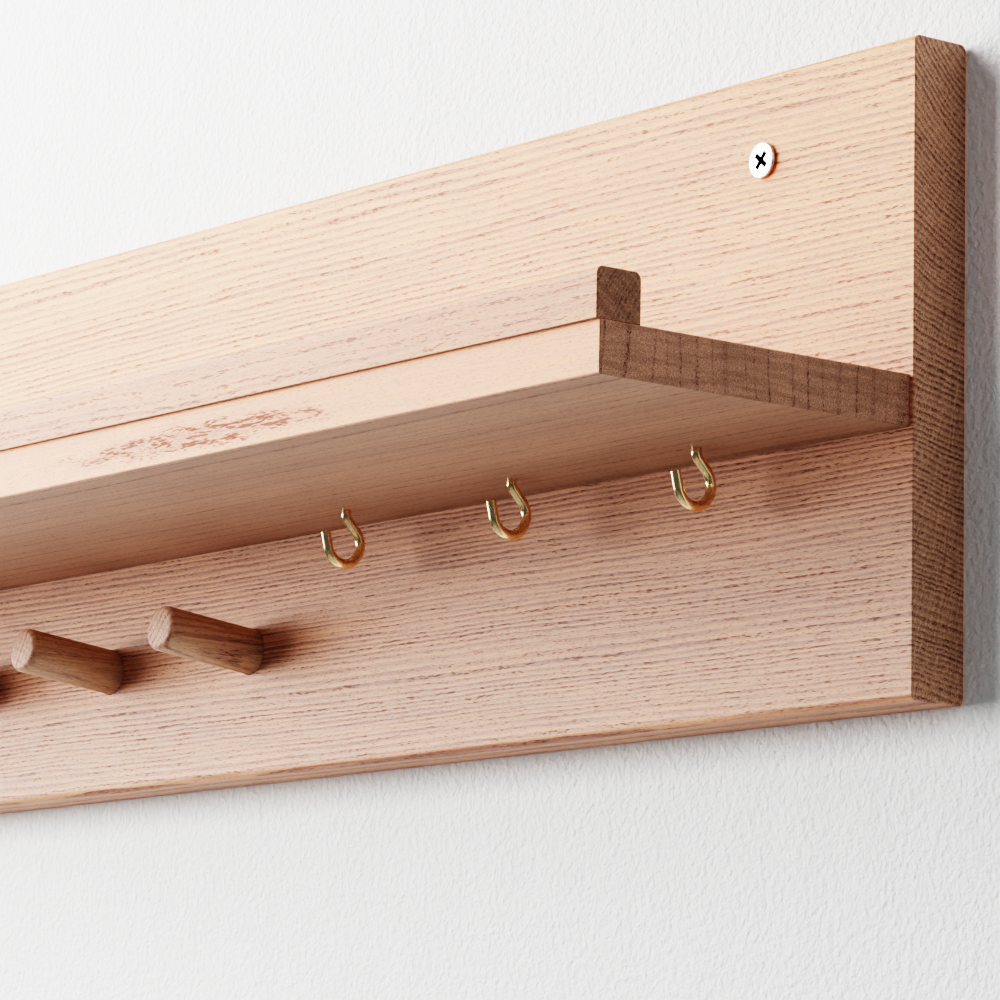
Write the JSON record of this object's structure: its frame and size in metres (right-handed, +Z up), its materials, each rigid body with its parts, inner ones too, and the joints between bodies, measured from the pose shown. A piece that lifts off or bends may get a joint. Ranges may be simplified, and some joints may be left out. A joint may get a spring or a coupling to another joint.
{
  "type": "wall shelf rack with pegs and hooks",
  "caption": "Wooden wall rack: a long backboard with a lipped shelf, tilted round pegs and small wire screw hooks below it.",
  "frame": {"origin": "centre of the backboard's back face, on the plane of the wall", "axes": "+Z up, +Y into the wall, +X towards the right-hand end, where the hooks are"},
  "size_m": [0.796, 0.173, 0.19],
  "materials": {
    "oak_board": "satin lacquered oak",
    "oak_shelf": "satin lacquered oak",
    "oak_lip": "satin lacquered oak",
    "oak_peg": "satin lacquered oak",
    "polished_brass": "polished",
    "zinc_steel": "bright zinc plated",
    "beech": "untreated"
  },
  "bodies": {
    "root": {"backboard": "oak_board", "shelf": "oak_shelf", "lip": "oak_lip", "peg_1": "oak_peg", "peg_2": "oak_peg", "peg_3": "oak_peg", "peg_4": "oak_peg", "peg_5": "oak_peg", "peg_6": "oak_peg", "hook_1": "polished_brass", "hook_2": "polished_brass", "hook_3": "polished_brass", "wall_screw_right": "zinc_steel", "wall_screw_left": "zinc_steel", "shelf_screw_1": "zinc_steel", "shelf_screw_2": "zinc_steel", "shelf_screw_3": "zinc_steel", "shelf_screw_4": "zinc_steel", "dowel_1": "beech", "dowel_2": "beech", "dowel_3": "beech", "dowel_4": "beech", "dowel_5": "beech", "dowel_6": "beech"}
  },
  "joints": []
}
